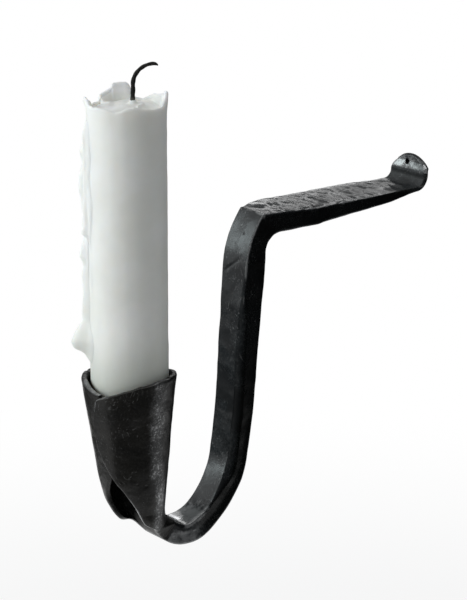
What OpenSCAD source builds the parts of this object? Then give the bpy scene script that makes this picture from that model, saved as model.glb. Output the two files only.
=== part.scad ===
// Hand-forged wall candle holder: one flat bar, drawn out and flattened at
// both ends. One end is rolled into a lapped, tapering socket, the other is
// turned up as a rounded ear that a nail holds to the wall. A candle stands in
// the socket. Millimetres. Origin: the nail hole's centre on the wall. +Z is
// up, -Y is away from the wall and X = 0 is the bar's middle plane.

/* [Place on the wall] */
// Distance from the wall to the candle's axis
reach = 104; // [92:1:160]
// Height of the arm's top above the socket's rim
drop = 41; // [38:1:90]
// Depth of the arm's top below the nail hole
arm_below_nail = 6; // [5:0.1:9]

/* [Bar] */
// Width of the bar in the stem and the bend
bar_w = 10.4; // [8:0.2:13]
// Thickness of the bar under the bend
bend_t = 5.2; // [4.4:0.2:6]
// How much thinner the bar is where the bend turns up into the stem
bend_thin = 1.1; // [0:0.1:1.4]
// How much thicker the bar is where it enters the socket's root
root_extra = 1; // [0:0.1:1.4]
// Thickness of the bar at the top of the stem
stem_t = 6.9; // [5.4:0.1:8]
// Inner radius of the bend on the socket's side
bend_r_socket = 7; // [5.5:0.5:10]
// Inner radius of the bend's lower half on the stem's side
bend_r_stem = 11.5; // [10:0.5:14]
// Inner radius of the bend's upper half, where it runs out into the stem
bend_r_out = 25; // [18:1:30]
// Lean of the stem from upright in its lower stretch, in degrees
lean_low = 8; // [5:0.5:10]
// Lean of the stem from upright in its upper stretch, in degrees
lean_high = 4; // [2:0.5:6]
// Length of the stem's lower stretch
low_len = 12; // [6:1:20]
// Radius of the curve that carries the stem into the corner
corner_r = 28; // [18:1:32]
// Lean of the stem where it meets the arm's top, in degrees
corner_lean = 40; // [25:1:48]

/* [Arm] */
// Thickness of the arm behind the corner
arm_t = 5.8; // [4:0.2:7]
// Thickness of the arm at the neck in front of the ear
neck_t = 2.4; // [1.8:0.1:3.4]
// Width of the arm where it is flattened widest
arm_w = 16.4; // [13:0.2:20]
// Distance from the corner to where the arm has its full width
arm_spread = 17; // [8:1:24]
// Radius in the hollow of the corner under the arm
fillet_r = 6; // [3:0.5:7]
// Distance of the joint between stem and arm below the corner's hollow
joint_drop = 2; // [1:0.5:6]
// Length of the neck's narrowest stretch
neck_len = 0.5; // [0.2:0.1:1]
// Width of the neck in front of the ear
neck_w = 15.2; // [11:0.2:18]
// Distance from the wall to the neck
neck_y = 9.5; // [7.5:0.5:14]
// Length over which the arm narrows into the neck
neck_run = 14; // [8:1:18]

/* [Wall ear] */
// Radius of the ear's rounded outline
ear_r = 8.7; // [7.8:0.1:12]
// Width of the ear where it turns up
ear_w = 16; // [13:0.2:20]
// Sideways place of the ear's rounded outline
ear_shift = 1.2; // [-2:0.1:2]
// Height of the ear's top above the nail hole's centre
ear_over_nail = 2.5; // [2.3:0.1:4]
// Thickness of the ear
ear_t = 1.6; // [1.2:0.1:2.4]
// Inner radius where the arm turns up into the ear
ear_bend_r = 3; // [2:0.1:3.2]
// Radius of the nail hole
nail_r = 1.2; // [0.8:0.1:1.5]

/* [Socket] */
// Wall of the rolled socket
wall = 1.7; // [1.2:0.1:2]
// Height from the socket's foot to its rim
socket_h = 39.6; // [34:0.2:56]
// Outer radius of the socket's taper at its foot
foot_r = 8.3; // [7.6:0.1:9]
// How far the socket is tucked in below its taper at the foot
foot_tuck = 0.8; // [0.2:0.1:1]
// Height over which the foot is tucked in
tuck_h = 6; // [4:0.5:8]
// Distance from the candle's axis to the socket's back at its foot
foot_back = 10; // [8.8:0.1:10.8]
// Thickness of the metal at the back of the socket's foot
foot_wall = 4.4; // [3.4:0.2:5]
// Gap between the lapped flaps
lap_gap = 0.3; // [0.2:0.1:0.8]
// Turn of the far flap where it passes under the near one, in degrees
far_turn = 196; // [190:1:204]
// Turn of the far flap's edge in the notch below the lap, in degrees
far_foot_turn = 183; // [178:1:187]
// Turn of the near flap's edge at the foot, in degrees
near_foot_turn = 122; // [112:1:130]
// Turn of the near flap's edge where it laps furthest, in degrees
near_turn = 180; // [174:1:182]
// Turn of the near flap's edge at the rim, in degrees
near_rim_turn = 166; // [158:1:180]
// Height of the place where the near flap laps furthest, above the foot
close_h = 18; // [16:0.5:22]
// Rise and fall of the near flap's rim
rim_rise = 1.7; // [0:0.1:2.5]
// Height of the thick root inside the socket above its foot
root_h = 13; // [9:0.5:14]

/* [Candle] */
// Radius of the candle
candle_r = 11; // [10:0.1:14]
// Height of the candle above the socket's rim
candle_h = 80; // [20:1:220]
// Depth of the candle's whittled foot in the socket
seat_h = 24; // [12:1:25]
// Room round the candle in the socket's mouth
mouth_gap = 0.45; // [0.35:0.05:1]
// Least clearance between the candle's foot and the socket
seat_gap = 0.3; // [0.2:0.05:0.35]
// Radius of the melted pool at the top
pool_r = 9; // [6:0.2:9.4]
// Depth of the melted pool
pool_h = 2.6; // [1:0.2:5]

/* [Wick] */
// Radius of the wick
wick_r = 0.55; // [0.55:0.05:1]
// Radius of the wick's burnt and bent end
burnt_r = 0.45; // [0.3:0.05:0.45]
// Distance of the wick from the candle's axis
wick_off = 1.7; // [0:0.1:2.5]
// Direction in which the wick stands off and leans, in degrees from +X
wick_dir = 52; // [0:1:359]
// Height at which the burnt wick starts to bend, above the pool
wick_stand = 4.3; // [2:0.1:10]
// Radius of the burnt wick's bend
wick_bend_r = 6; // [3:0.2:9]
// Turn of the burnt wick's bend, in degrees
wick_turn = 98; // [20:1:120]
// Clearance between the wick and the wax round it
wick_gap = 0.05; // [0.02:0.01:0.2]

/* [Wax runs] */
// Direction of the main run round the candle, in degrees from +X
run_dir = 232; // [0:1:359]
// Angle between neighbouring runs, in degrees
run_step = 14; // [10:1:15]
// Radius of a run of wax
run_r = 1.6; // [1.5:0.1:2.2]
// How far the middle of a run stands out from the candle's side
run_out = 0.2; // [0.1:0.1:0.6]
// Radius of the drop at the foot of the main run
drop_r = 3.4; // [2.4:0.1:4.5]
// Height of the drop's centre above the rim
drop_z = 11.4; // [9:0.2:16]
// How far the drop's centre stands out from the candle's side
drop_out = 1.4; // [0:0.1:2]

/* [Hidden] */
$fn = 96;
iron = [0.13, 0.135, 0.14];
wax = [0.92, 0.93, 0.90];
char = [0.07, 0.06, 0.05];
big = 400;
slab = 40;
spare = 1;

// Heights and places that follow from the sizes above
arm_z = -arm_below_nail;
rim_z = arm_z - drop;
foot_z = rim_z - socket_h;
rim_r = candle_r + mouth_gap + wall;
bend_y = -reach + foot_back + bend_r_socket;
bend_bottom = foot_z - bend_r_socket;
under_z = arm_z - arm_t;
ear_c = ear_over_nail - ear_r;
ear_root_y = -(ear_t + ear_bend_r);
split_z = under_z - fillet_r - joint_drop;

function lerp(a, b, u) = a + (b - a) * u;
function ease(u) = let (c = min(1, max(0, u))) c * c * (3 - 2 * c);
function arc_pt(c, r, t) = [c[0] + r * cos(t), c[1] + r * sin(t)];
function arc(c, r, from, to, n) = [for (i = [0:n]) arc_pt(c, r, lerp(from, to, i / n))];
function up(p, lean, len) = [p[0] + len * sin(lean), p[1] + len * cos(lean)];
function off(p, lean, t) = [p[0] + t * cos(lean), p[1] - t * sin(lean)];
function reversed(list) = [for (i = [len(list) - 1:-1:0]) list[i]];

// The bend is two round stretches about centres above its bottom: the socket's
// side and the lower half share one end, the upper half runs out into the stem
root_turn = 225;
half_turn = 315;
out_turn = 360 - lean_low;
half_c = [bend_y, bend_bottom + bend_r_stem];
out_c = arc_pt(half_c, bend_r_stem - bend_r_out, half_turn);

// Thickness of the bar at a turn round the bend
function turn_t(t) =
    t < 270
        ? bend_t + root_extra * ease((270 - t) / (270 - root_turn))
        : bend_t - bend_thin * pow(sin(180 * (t - 270) / (out_turn - 270)), 2);
function bend_line(s) = [
    for (t = [root_turn:5:265]) arc_pt([bend_y, foot_z], bend_r_socket + s * turn_t(t), t),
    for (t = [270:5:310]) arc_pt(half_c, bend_r_stem + s * turn_t(t), t),
    for (i = [0:12])
        let (t = lerp(half_turn, out_turn, i / 12))
        arc_pt(out_c, bend_r_out + s * turn_t(t), t)
];

// The stem's front face in the upright plane of the bar, as [y, z] points
low_start = arc_pt(out_c, bend_r_out, out_turn);
low_end = up(low_start, lean_low, low_len);
high_z = arm_z - corner_r * (sin(corner_lean) - sin(lean_high));
high_end = up(low_end, lean_high, (high_z - low_end[1]) / cos(lean_high));
corner_c = [high_end[0] + corner_r * cos(lean_high), high_end[1] - corner_r * sin(lean_high)];
corner_y = corner_c[0] - corner_r * cos(corner_lean);
front_line = concat(bend_line(0), [low_end], arc(corner_c, corner_r, 180 - lean_high, 180 - corner_lean, 10));

// The stem's back face, at the bar's thickness behind the front
mid_t = lerp(bend_t, stem_t, low_len / (low_len + norm(high_end - low_end)));
back_high = off(high_end, lean_high, stem_t);
fillet_z = under_z - fillet_r;
fillet_y = back_high[0] + (fillet_z - back_high[1]) * tan(lean_high);
back_line = concat(
    bend_line(1),
    [off(low_end, (lean_low + lean_high) / 2, mid_t), back_high],
    arc([fillet_y + fillet_r, fillet_z], fillet_r, 180, 90, 8),
    [[-neck_y, arm_z - neck_t]]
);

// The turned-up end: the ear's front and back faces
ear_front = concat(arc([ear_root_y, arm_z + ear_bend_r], ear_bend_r, 270, 360, 8), [[-ear_t, ear_over_nail]]);
ear_back = concat(arc([ear_root_y, arm_z + ear_bend_r], ear_bend_r + ear_t, 270, 360, 8), [[0, ear_over_nail]]);

side_outline = concat(front_line, ear_front, reversed(ear_back), reversed(back_line));

// Half widths of the arm and ear along the bar, as [y, half width] points
function spread(y0, w0, y1, w1, n) =
    [for (i = [0:n]) [lerp(y0, y1, i / n), lerp(w0, w1, ease(i / n)) / 2]];
widths = concat(
    [[-big, bar_w / 2]],
    spread(corner_y, bar_w, corner_y + arm_spread, arm_w, 8),
    spread(-neck_y - neck_run, arm_w, -neck_y, neck_w, 6),
    spread(-neck_y + neck_len, neck_w, ear_root_y + ear_bend_r, ear_w, 6),
    [[big, ear_w / 2]]
);
plan_outline = concat([for (p = widths) [p[1], p[0]]], [for (p = reversed(widths)) [-p[1], p[0]]]);

// The bar's side view drawn out across its width, and its plan drawn upwards
module side_slab() {
    rotate([90, 0, 90]) translate([0, 0, -slab / 2]) linear_extrude(slab) polygon(side_outline);
}

module plan_slab() {
    translate([0, 0, -big / 2]) linear_extrude(big) polygon(plan_outline);
}

module box(low, high) {
    translate(low) cube(high - low);
}

// Bend and stem: from the socket's root round to below the corner
module stem() {
    color(iron) intersection() {
        side_slab();
        box([-bar_w / 2, -big, -big], [bar_w / 2, 0, split_z]);
    }
}

// Arm: the corner and the level stretch, wider as it gets thinner
module arm() {
    color(iron) intersection() {
        side_slab();
        plan_slab();
        box([-slab, -big, split_z], [slab, -neck_y, big]);
    }
}

// Ear: the flattened end, turned up against the wall, with its nail hole
module wall_ear() {
    color(iron) difference() {
        intersection() {
            side_slab();
            plan_slab();
            box([-slab, -neck_y, -big], [slab, big, big]);
            union() {
                translate([ear_shift, slab, ear_c]) rotate([90, 0, 0]) cylinder(r = ear_r, h = 2 * slab);
                box([-slab, -slab, -big], [slab, slab, ear_c]);
            }
        }
        translate([0, slab, 0]) rotate([90, 0, 0]) cylinder(r = nail_r, h = 2 * slab);
    }
}

// Socket: the spread end of the bar, rolled round so that the near flap laps
// over the far one. Each ring is a section across the bar. The lower rings
// fan out about the bend's centre, the upper ones are level. Angles run from
// the back, and are positive on the near side (+X).
tilt_rings = 12;
level_rings = 16;
side_pts = 36;

// How square the bar's section is and where in the root it has turned round,
// how soon the front fills out and how the back swings out
bar_square = 0.2;
round_from = 0.6;
front_power = 1.6;
back_power = 1.3;

// Where in the root the near and the far flap start to close, and over what
// share of it they do
near_start = 0.4;
near_span = 0.4;
far_start = 0.3;
far_span = 0.6;

// Where round the socket and how high up the near flap has lifted off to lap
// over the far one, and where up the notch the far flap turns in under it
lap_from = 110;
lap_span = 50;
lap_rise = 12;
notch_h = 8;
notch_span = 6;
side_turn = 90;

// The near rim stands up at the side and dips past this turn, more steeply the
// nearer the rim
wave_turn = 133;
wave_power = 4;

// u grows from 0 at the bar to 1 at the socket's foot; h is the height above the foot
foot_out = foot_r - foot_tuck;
function taper_r(h) = lerp(foot_r, rim_r, h / socket_h) - foot_tuck * (1 - ease(h / tuck_h));
function ring_r(u, h) = u < 1 ? lerp(bar_w / 2, foot_out, ease(u)) : taper_r(h);
function ring_mid(u, h) = u < 1 ? lerp(bend_t + root_extra, foot_out, ease(u)) : taper_r(h);
function ring_front(u, h) = u < 1 ? foot_out * pow(u, front_power) : taper_r(h);
function ring_square(u) = lerp(bar_square, 1, ease(u / round_from));
function near_edge(u, h) =
    u < 1
        ? lerp(side_turn, near_foot_turn, ease((u - near_start) / near_span))
        : lerp(near_foot_turn, near_turn, ease(h / close_h))
            - (near_turn - near_rim_turn) * ease((h - close_h) / (socket_h - close_h));
function far_edge(u, h) =
    u < 1
        ? lerp(side_turn, far_foot_turn, ease((u - far_start) / far_span))
        : lerp(far_foot_turn, far_turn, ease((h - notch_h) / notch_span));
function root_t(u, h) =
    u < 1 ? lerp(bend_t + root_extra, foot_wall, ease(u)) : lerp(foot_wall, wall, ease(h / root_h));
function lap_out(u, h, t) =
    u < 1 ? 0 : (wall + lap_gap) * ease(h / lap_rise) * ease((t - lap_from) / lap_span);

// A point of a ring: sideways place and depth from the bar's back face
function outer_pt(u, h, t) =
    let (e = ring_square(u), r = ring_r(u, h), m = ring_mid(u, h), o = lap_out(u, h, t))
    abs(t) <= side_turn
        ? [sign(t) * r * pow(abs(sin(t)), e), m * (1 - pow(abs(cos(t)), e))]
        : [(r + o) * sin(t), m - (ring_front(u, h) + o) * cos(t)];
function inner_pt(u, h, t) =
    let (r = ring_r(u, h) - wall, m = ring_mid(u, h), o = lap_out(u, h, t))
    abs(t) <= side_turn
        ? [r * sin(t), m - (m - root_t(u, h)) * cos(t)]
        : [(r + o) * sin(t), m - max(0, ring_front(u, h) - wall + o) * cos(t)];
function rim_wave(h, t) =
    t > 0 ? rim_rise * pow(h / socket_h, wave_power) * sin(180 * t / wave_turn) * (t > wave_turn ? 2 : 1) : 0;

// Carries a ring's point to its place: rings fan out about the bend's centre
function placed(u, h, t, p) =
    let (a = (270 - root_turn) * (1 - u), back = lerp(foot_back, rim_r, pow(h / socket_h, back_power)))
    u < 1
        ? [p[0], bend_y - (bend_r_socket + p[1]) * cos(a), foot_z - (bend_r_socket + p[1]) * sin(a)]
        : [p[0], -reach + back - p[1], foot_z + h + rim_wave(h, t)];
function ring(u, h) =
    let (ts = [for (i = [0:side_pts]) lerp(-far_edge(u, h), near_edge(u, h), i / side_pts)])
    concat(
        [for (t = ts) placed(u, h, t, outer_pt(u, h, t))],
        [for (t = reversed(ts)) placed(u, h, t, inner_pt(u, h, t))]
    );
rings = concat(
    [for (i = [0:tilt_rings - 1]) ring(i / tilt_rings, 0)],
    [for (i = [0:level_rings]) ring(1, socket_h * i / level_rings)]
);
ring_len = 2 * (side_pts + 1);
ring_count = len(rings);
wall_faces = [
    for (i = [0:ring_count - 2]) for (j = [0:ring_len - 1])
        let (k = (j + 1) % ring_len, a = i * ring_len, b = a + ring_len)
        each [[a + j, b + k, b + j], [a + j, a + k, b + k]]
];
function quad(q, flip) =
    flip ? [[q[0], q[1], q[2]], [q[0], q[2], q[3]]] : [[q[0], q[2], q[1]], [q[0], q[3], q[2]]];
function cap(a, flip) = [
    for (j = [0:side_pts - 1])
        let (m = ring_len - 1 - j, q = [a + j, a + j + 1, a + m - 1, a + m])
        each quad(j < side_pts / 2 ? [q[1], q[2], q[3], q[0]] : q, flip)
];

module socket() {
    color(iron) polyhedron(
        points = [for (r = rings) each r],
        faces = concat(wall_faces, cap(0, false), cap((ring_count - 1) * ring_len, true)),
        convexity = 8
    );
}

// Candle: its foot is whittled to the socket's taper and its top has melted
slope = (rim_r - foot_r) / socket_h;
axis_slope = (foot_back - foot_r) / socket_h;
seat_r = rim_r - wall - seat_gap - (slope + axis_slope) * seat_h;
seat_z = rim_z - seat_h;
top_z = rim_z + candle_h;
pool_sphere = (pool_r * pool_r + pool_h * pool_h) / (2 * pool_h);
pool_z = top_z - pool_h;

module on_axis(z) {
    translate([0, -reach, z]) children();
}

module at_wick(z) {
    on_axis(z) rotate([0, 0, wick_dir]) translate([wick_off, 0, 0]) children();
}

module candle() {
    color(wax) difference() {
        union() {
            on_axis(seat_z) cylinder(r1 = seat_r, r2 = candle_r, h = seat_h);
            on_axis(rim_z) cylinder(r = candle_r, h = candle_h);
        }
        on_axis(pool_z + pool_sphere) sphere(r = pool_sphere);
        at_wick(seat_z - spare) cylinder(r = wick_r + wick_gap, h = candle_h + seat_h + 2 * spare);
    }
}

// Wick: straight through the wax, burnt and bent over above the pool. The bent
// end starts a few degrees early, inside the straight part
early = 8;

module wick() {
    bend_z = pool_z + wick_stand;
    color(char) union() {
        at_wick(seat_z) cylinder(r = wick_r, h = bend_z - seat_z);
        at_wick(bend_z) translate([wick_bend_r, 0, 0]) rotate([90, 0, 180]) rotate([0, 0, -early])
            rotate_extrude(angle = wick_turn + early) translate([wick_bend_r, 0]) circle(r = burnt_r, $fn = 32);
    }
}

// Wax that ran down the candle's side and set there: how high each run starts
// and how low the side ones end, as shares of the candle's height, how thick the
// side ones are against the main one, and how thick the bead at a run's end is
main_top = 0.85;
left_top = 0.92;
left_end = 0.38;
right_top = 0.94;
right_end = 0.52;
left_share = 0.9;
right_share = 0.85;
bead_share = 1.15;

module run(dir, low, high, r) {
    rotate([0, 0, dir]) translate([candle_r + run_out, 0, 0]) {
        translate([0, 0, low]) cylinder(r = r, h = high - low);
        translate([0, 0, low]) sphere(r = bead_share * r);
        translate([0, 0, high]) sphere(r = bead_share * r);
    }
}

module wax_runs() {
    color(wax) difference() {
        on_axis(rim_z) {
            run(run_dir, drop_z, main_top * candle_h, run_r);
            run(run_dir - run_step, left_end * candle_h, left_top * candle_h, left_share * run_r);
            run(run_dir + run_step, right_end * candle_h, right_top * candle_h, right_share * run_r);
            rotate([0, 0, run_dir]) translate([candle_r + drop_out, 0, drop_z]) sphere(r = drop_r);
        }
        on_axis(rim_z - spare) cylinder(r = candle_r, h = candle_h + 2 * run_r);
    }
}

socket();
stem();
arm();
wall_ear();
candle();
wick();
wax_runs();
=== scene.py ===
"""Looks of the forged wall candle holder: hammered iron bar, rolled socket, wax and wick.

Shapes are worked out in millimetres as whole arrays and put into metres when a
mesh is made. Origin: the nail hole on the wall, +Z up, -Y away from the wall.
"""
import bpy
import numpy as np
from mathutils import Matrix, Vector


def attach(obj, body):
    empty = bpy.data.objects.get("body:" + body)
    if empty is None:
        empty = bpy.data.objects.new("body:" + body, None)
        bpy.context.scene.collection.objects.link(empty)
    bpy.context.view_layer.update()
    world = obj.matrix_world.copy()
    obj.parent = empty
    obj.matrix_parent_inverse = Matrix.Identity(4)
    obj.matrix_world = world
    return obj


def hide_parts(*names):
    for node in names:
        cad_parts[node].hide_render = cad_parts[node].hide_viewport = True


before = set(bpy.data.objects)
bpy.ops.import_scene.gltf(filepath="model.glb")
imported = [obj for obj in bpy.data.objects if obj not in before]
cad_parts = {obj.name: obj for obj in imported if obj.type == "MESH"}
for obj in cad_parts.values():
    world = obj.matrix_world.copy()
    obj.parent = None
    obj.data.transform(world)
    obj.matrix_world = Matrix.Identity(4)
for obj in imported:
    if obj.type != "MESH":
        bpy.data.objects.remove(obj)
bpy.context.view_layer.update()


# The sizes that the part's source gives, millimetres
REACH, DROP, ARM_Z = 104.0, 41.0, -6.0
BAR_W, BEND_T, BEND_THIN, ROOT_EXTRA, STEM_T = 10.4, 5.2, 1.1, 1.0, 6.9
R_SOCKET, R_STEM, R_OUT, CORNER_R = 7.0, 11.5, 25.0, 28.0
LEAN_LOW, LEAN_HIGH, CORNER_LEAN, LOW_LEN = 8.0, 4.0, 40.0, 12.0
ARM_T, NECK_T, ARM_W, ARM_SPREAD, FILLET_R, JOINT_DROP = 5.8, 2.4, 16.4, 17.0, 6.0, 2.0
NECK_W, NECK_Y, NECK_RUN, NECK_LEN = 15.2, 9.5, 14.0, 0.5
EAR_R, EAR_W, EAR_SHIFT, EAR_TOP, EAR_T, EAR_BEND, NAIL_R = 8.7, 16.0, 1.2, 2.5, 1.6, 3.0, 0.8
WALL, SOCKET_H, FOOT_R, FOOT_TUCK, FOOT_BACK, FOOT_WALL = 1.7, 39.6, 8.3, 0.8, 10.0, 4.4
LAP_GAP, RIM_RISE, ROOT_H = 0.3, 1.7, 13.0
CANDLE_R, SEAT_H, MOUTH_GAP = 11.0, 24.0, 0.45

RIM_Z = ARM_Z - DROP
FOOT_Z = RIM_Z - SOCKET_H
RIM_R = CANDLE_R + MOUTH_GAP + WALL
BEND_Y = -REACH + FOOT_BACK + R_SOCKET
UNDER_Z = ARM_Z - ARM_T
SPLIT_Z = UNDER_Z - FILLET_R - JOINT_DROP
EAR_C = EAR_TOP - EAR_R
EAR_ROOT = -(EAR_T + EAR_BEND)
MM = 0.001
CANDLE_AT = np.array([0, -REACH, RIM_Z])     # middle of the socket's rim


def lerp(a, b, u):
    return a + (b - a) * u


def ease(u):
    """Smooth step: three times the square less twice the cube, held to 0..1."""
    u = np.clip(u, 0.0, 1.0)
    return u * u * (3.0 - 2.0 * u)


def window(s, start, rise, stop, fall):
    """Goes from 0 to 1 over the length rise after start, and back over fall after stop."""
    return ease((s - start) / rise) * (1 - ease((s - stop) / fall))


def bump(x, middle, width):
    """A bell of height 1 round a middle."""
    return np.exp(-((x - middle) / width) ** 2)


def unit(turn):
    """The pair (cosine, sine) of a turn in degrees."""
    return np.stack([np.cos(np.radians(turn)), np.sin(np.radians(turn))], -1)


def spun(r, a, z):
    """Points at a radius, a turn in radians and a height."""
    return np.stack([r * np.cos(a), r * np.sin(a), z], -1)


def column(values):
    return np.asarray(values, float)[:, None]


def noise(p, cell, seed=0):
    """Smooth noise from -1 to 1 at points p: chance values at the corners of a
    lattice, blended across each cell by an eased share along each axis."""
    q = np.asarray(p, float) / cell + 0.37 * seed
    low = np.floor(q).astype(np.int64)
    part = ease(q - low)
    axes = q.shape[-1]
    total = 0.0
    for corner in range(2 ** axes):
        step = np.array([corner >> k & 1 for k in range(axes)])
        at = low + step
        mix = sum(at[..., k] * prime for k, prime in zip(range(axes), (374761393, 668265263, 2147483647)))
        mix = (mix + seed * 144269504) & 0x7FFFFFFF
        mix = ((mix ^ (mix >> 13)) * 1274126177) & 0x7FFFFFFF
        value = ((mix ^ (mix >> 16)) & 0xFFFF) / 32767.5 - 1.0
        total = total + value * np.prod(np.where(step == 1, part, 1.0 - part), axis=-1)
    return total


def waver(x, cell, seed):
    """Smooth noise along one measure."""
    return noise(np.stack([x, 0 * x], -1), cell, seed)


def blows(along, across, length, width, spacing, size, depth, seed, skew=0.0, long=1.4, wild=0.5):
    """Height left by hammer blows on a face: each blow is a shallow round dish
    whose depth falls with the square of the distance, and the lowest dish counts,
    so that crisp ridges stand between neighbours. Places along and across are arrays."""
    rng = np.random.default_rng(seed)
    height = np.zeros(np.broadcast(along, across).shape)
    for i in range(int(length / spacing) + 2):
        for j in range(int(width / spacing) + 2):
            ca = (i + rng.uniform(-0.4, 0.4)) * spacing
            cb = (j + 0.5 * (i % 2) + rng.uniform(-0.35, 0.35)) * spacing - width / 2
            turn = skew + wild * rng.uniform(-1.0, 1.0)
            da, db = along - ca, across - cb
            u = (da * np.cos(turn) + db * np.sin(turn)) / (size * rng.uniform(0.75, 1.1))
            v = (db * np.cos(turn) - da * np.sin(turn)) / (size * long * rng.uniform(0.8, 1.2))
            height = np.minimum(height, -depth * rng.uniform(0.5, 1.0) * (1.0 - u * u - v * v))
    return height


def linked(name, data):
    """A new object in the scene that shows a mesh, a lamp or a camera."""
    obj = bpy.data.objects.new(name, data)
    bpy.context.scene.collection.objects.link(obj)
    return obj


def put_mesh(name, verts, faces, normals=None, marks=None):
    """A mesh from points in millimetres and faces as lists of point numbers. Marks are
    values per point."""
    mesh = bpy.data.meshes.new(name)
    mesh.from_pydata((verts * MM).tolist(), [], faces)
    mesh.polygons.foreach_set("use_smooth", np.ones(len(faces), bool))
    for key, values in (marks or {}).items():
        layer = mesh.attributes.new(key, "FLOAT", "POINT")
        layer.data.foreach_set("value", np.asarray(values, np.float32).ravel())
    mesh.update()
    if normals is not None:
        mesh.normals_split_custom_set_from_vertices(normals.tolist())
    return linked(name, mesh)


def put_piece(body, node, slot, *mesh_parts):
    """A mesh that stands for one node of the part: put under its body, with that node hidden.
    The slot is not used.
    """
    obj = put_mesh(*mesh_parts)
    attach(obj, body)
    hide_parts(node)
    return obj


def loop_faces(rings, points):
    """Quads between closed rings that follow each other, as rows of point numbers."""
    i, j = np.meshgrid(np.arange(rings - 1) * points, np.arange(points), indexing="ij")
    k = (j + 1) % points
    return np.stack([i + j, i + k, i + points + k, i + points + j], -1).reshape(-1, 4).tolist()


def zip_cap(ring, points, flip):
    """Closes a ring by quads between each point and its partner on the other side."""
    k = np.arange(points // 2 - 1)
    quads = ring * points + np.stack([k, k + 1, points - 2 - k, points - 1 - k], -1)
    return (quads if flip else quads[:, ::-1]).tolist()


def closed_rings(rings):
    """Faces of a grid of rings that is closed at both ends."""
    rows, points = rings.shape[:2]
    return loop_faces(rows, points) + zip_cap(0, points, False) + zip_cap(rows - 1, points, True)


def ring_normals(grid):
    """Outward normals of a grid of closed rings from the slopes along and round it."""
    along = np.gradient(grid, axis=0)
    round_it = np.roll(grid, -1, 1) - np.roll(grid, 1, 1)
    n = np.cross(round_it, along)
    return n / np.maximum(np.linalg.norm(n, axis=-1, keepdims=True), 1e-12)


# The bar: bend, stem, arm and ear as one surface

def arc(centre, radius, a, b, n):
    """Points of a round arc in the upright plane, as (y, z), from turn a to turn b."""
    return np.asarray(centre) + radius * unit(np.linspace(a, b, n))


def line(a, b, n):
    return lerp(np.asarray(a, float), np.asarray(b, float), np.linspace(0, 1, n)[:, None])


def turn_t(t):
    """Bar thickness round the bend: thicker at the socket, thinner where it turns up."""
    rise = np.clip((t - 270.0) / (90.0 - LEAN_LOW), 0, 1)
    return BEND_T + ROOT_EXTRA * ease((270.0 - t) / 45.0) - BEND_THIN * np.sin(np.pi * rise) ** 2


def along_lean(p, lean, length):
    return p + length * unit(lean)[::-1]


def behind(p, lean, thick):
    return p + thick * unit(-lean)


out_turn = 360.0 - LEAN_LOW
half_c = np.array([BEND_Y, FOOT_Z - R_SOCKET + R_STEM])
out_c = half_c + (R_STEM - R_OUT) * unit(315)
low_start = out_c + R_OUT * unit(out_turn)
low_end = along_lean(low_start, LEAN_LOW, LOW_LEN)
high_z = ARM_Z - CORNER_R * (unit(CORNER_LEAN) - unit(LEAN_HIGH))[1]
high_len = (high_z - low_end[1]) / unit(LEAN_HIGH)[0]
high_end = along_lean(low_end, LEAN_HIGH, high_len)
corner_c = behind(high_end, LEAN_HIGH, CORNER_R)
corner_y = corner_c[0] - CORNER_R * unit(CORNER_LEAN)[0]
mid_t = lerp(BEND_T, STEM_T, LOW_LEN / (LOW_LEN + high_len))
back_low = behind(low_end, (LEAN_LOW + LEAN_HIGH) / 2, mid_t)
back_high = behind(high_end, LEAN_HIGH, STEM_T)


def on_back(z):
    """The point of the stem's back at a height, as (y, z)."""
    return np.array([back_high[0] + (z - back_high[1]) * np.tan(np.radians(LEAN_HIGH)), z])


fillet_end = on_back(UNDER_Z - FILLET_R)
fillet_c = fillet_end + np.array([FILLET_R, 0.0])


def bend_part(centre, radius, a, b, n):
    """Front and back points of a round stretch of the bend."""
    t = np.linspace(a, b, n)
    return centre + radius * unit(t), centre + (radius + turn_t(t))[:, None] * unit(t)


# Numbers of the stretches of bar_path at whose ends things begin or end
BEND_LOW, BEND_END, STEM_MID, STEM_END, SPLIT, CREASE, NECK, EAR, EAR_UP = 1, 2, 3, 4, 5, 6, 8, 9, 10


def bar_path():
    """Front and back points in pairs from the socket's root to the ear's bend, cut
    into the stretches of the side outline: three arcs of the bend, two straight
    stretches of the stem, the corner with the hollow under it, the arm, the neck
    and the arc that turns up."""
    n = 160
    quarter = n // 4
    split_turn = 180.0 - np.degrees(np.arcsin((SPLIT_Z - corner_c[1]) / CORNER_R))
    split_back = on_back(SPLIT_Z)
    arm_start, neck_start, ear_start = [fillet_c[0], ARM_Z], [-NECK_Y, ARM_Z], [EAR_ROOT, ARM_Z]
    under_neck, ear_c = np.array([-NECK_Y, ARM_Z - NECK_T]), [EAR_ROOT, ARM_Z + EAR_BEND]
    return [
        bend_part(np.array([BEND_Y, FOOT_Z]), R_SOCKET, 225, 270, n),
        bend_part(half_c, R_STEM, 270, 315, n),
        bend_part(out_c, R_OUT, 315, out_turn, n),
        (line(low_start, low_end, n), line(behind(low_start, LEAN_LOW, BEND_T), back_low, n)),
        (line(low_end, high_end, n), line(back_low, back_high, n)),
        (arc(corner_c, CORNER_R, 180 - LEAN_HIGH, split_turn, n), line(back_high, split_back, n)),
        (arc(corner_c, CORNER_R, split_turn, 180 - CORNER_LEAN, n),
         np.concatenate([line(split_back, fillet_end, quarter)[:-1],
                         arc(fillet_c, FILLET_R, 180, 135, n - quarter + 1)])),
        (line([corner_y, ARM_Z], arm_start, n), arc(fillet_c, FILLET_R, 135, 90, n)),
        (line(arm_start, neck_start, n), line([fillet_c[0], UNDER_Z], under_neck, n)),
        (line(neck_start, ear_start, n), line(under_neck, [EAR_ROOT, ARM_Z - EAR_T], n)),
        (arc(ear_c, EAR_BEND, 270, 360, n), arc(ear_c, EAR_BEND + EAR_T, 270, 360, n)),
    ]


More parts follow.
